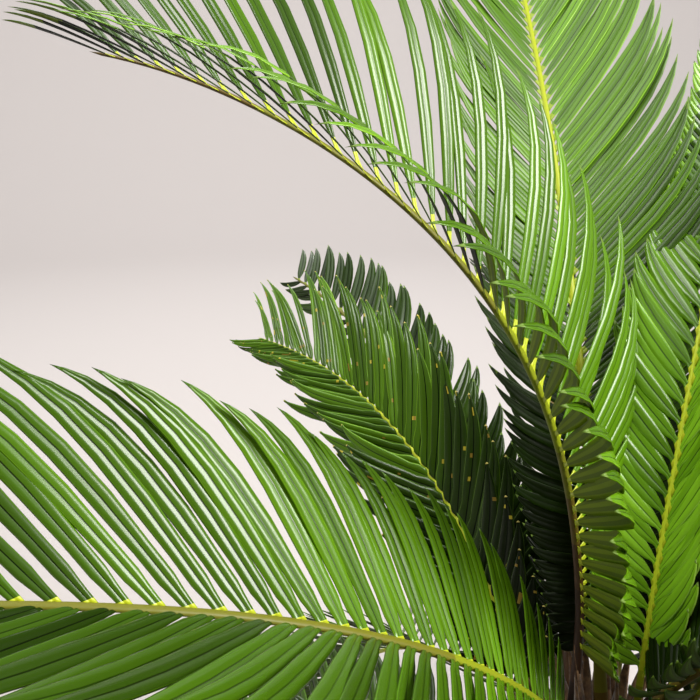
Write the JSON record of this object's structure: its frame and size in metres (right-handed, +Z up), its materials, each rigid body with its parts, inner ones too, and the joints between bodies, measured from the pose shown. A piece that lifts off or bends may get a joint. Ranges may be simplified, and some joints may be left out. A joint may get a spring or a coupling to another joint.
{
  "type": "potted sago palm",
  "caption": "Sago palm in a plain round pot: a stout scaly trunk in soil with a full crown of stiff arching feather fronds set with narrow glossy leaflets.",
  "frame": {"origin": "centre of the flat underside of the pot", "axes": "+Z up along the trunk; -Y is the side that the picture was taken from, +X to its right"},
  "size_m": [0.9403, 0.9274, 0.7459],
  "materials": {
    "pot": "matt fired clay, dark red-brown",
    "soil": "rough dark potting soil",
    "trunk": "rough brown leaf bases with wool between",
    "frond": "glossy stiff leaflets, yellow-green ribs"
  },
  "bodies": {
    "root": {"pot": "pot", "soil": "soil", "trunk": "trunk", "frond_01": "frond", "frond_02": "frond", "frond_03": "frond", "frond_04": "frond", "frond_05": "frond", "frond_06": "frond", "frond_07": "frond", "frond_08": "frond", "frond_09": "frond", "frond_10": "frond", "frond_11": "frond", "frond_12": "frond", "frond_13": "frond", "frond_14": "frond", "frond_15": "frond", "frond_16": "frond", "frond_17": "frond", "frond_18": "frond", "frond_19": "frond", "frond_20": "frond", "frond_21": "frond"}
  },
  "joints": []
}
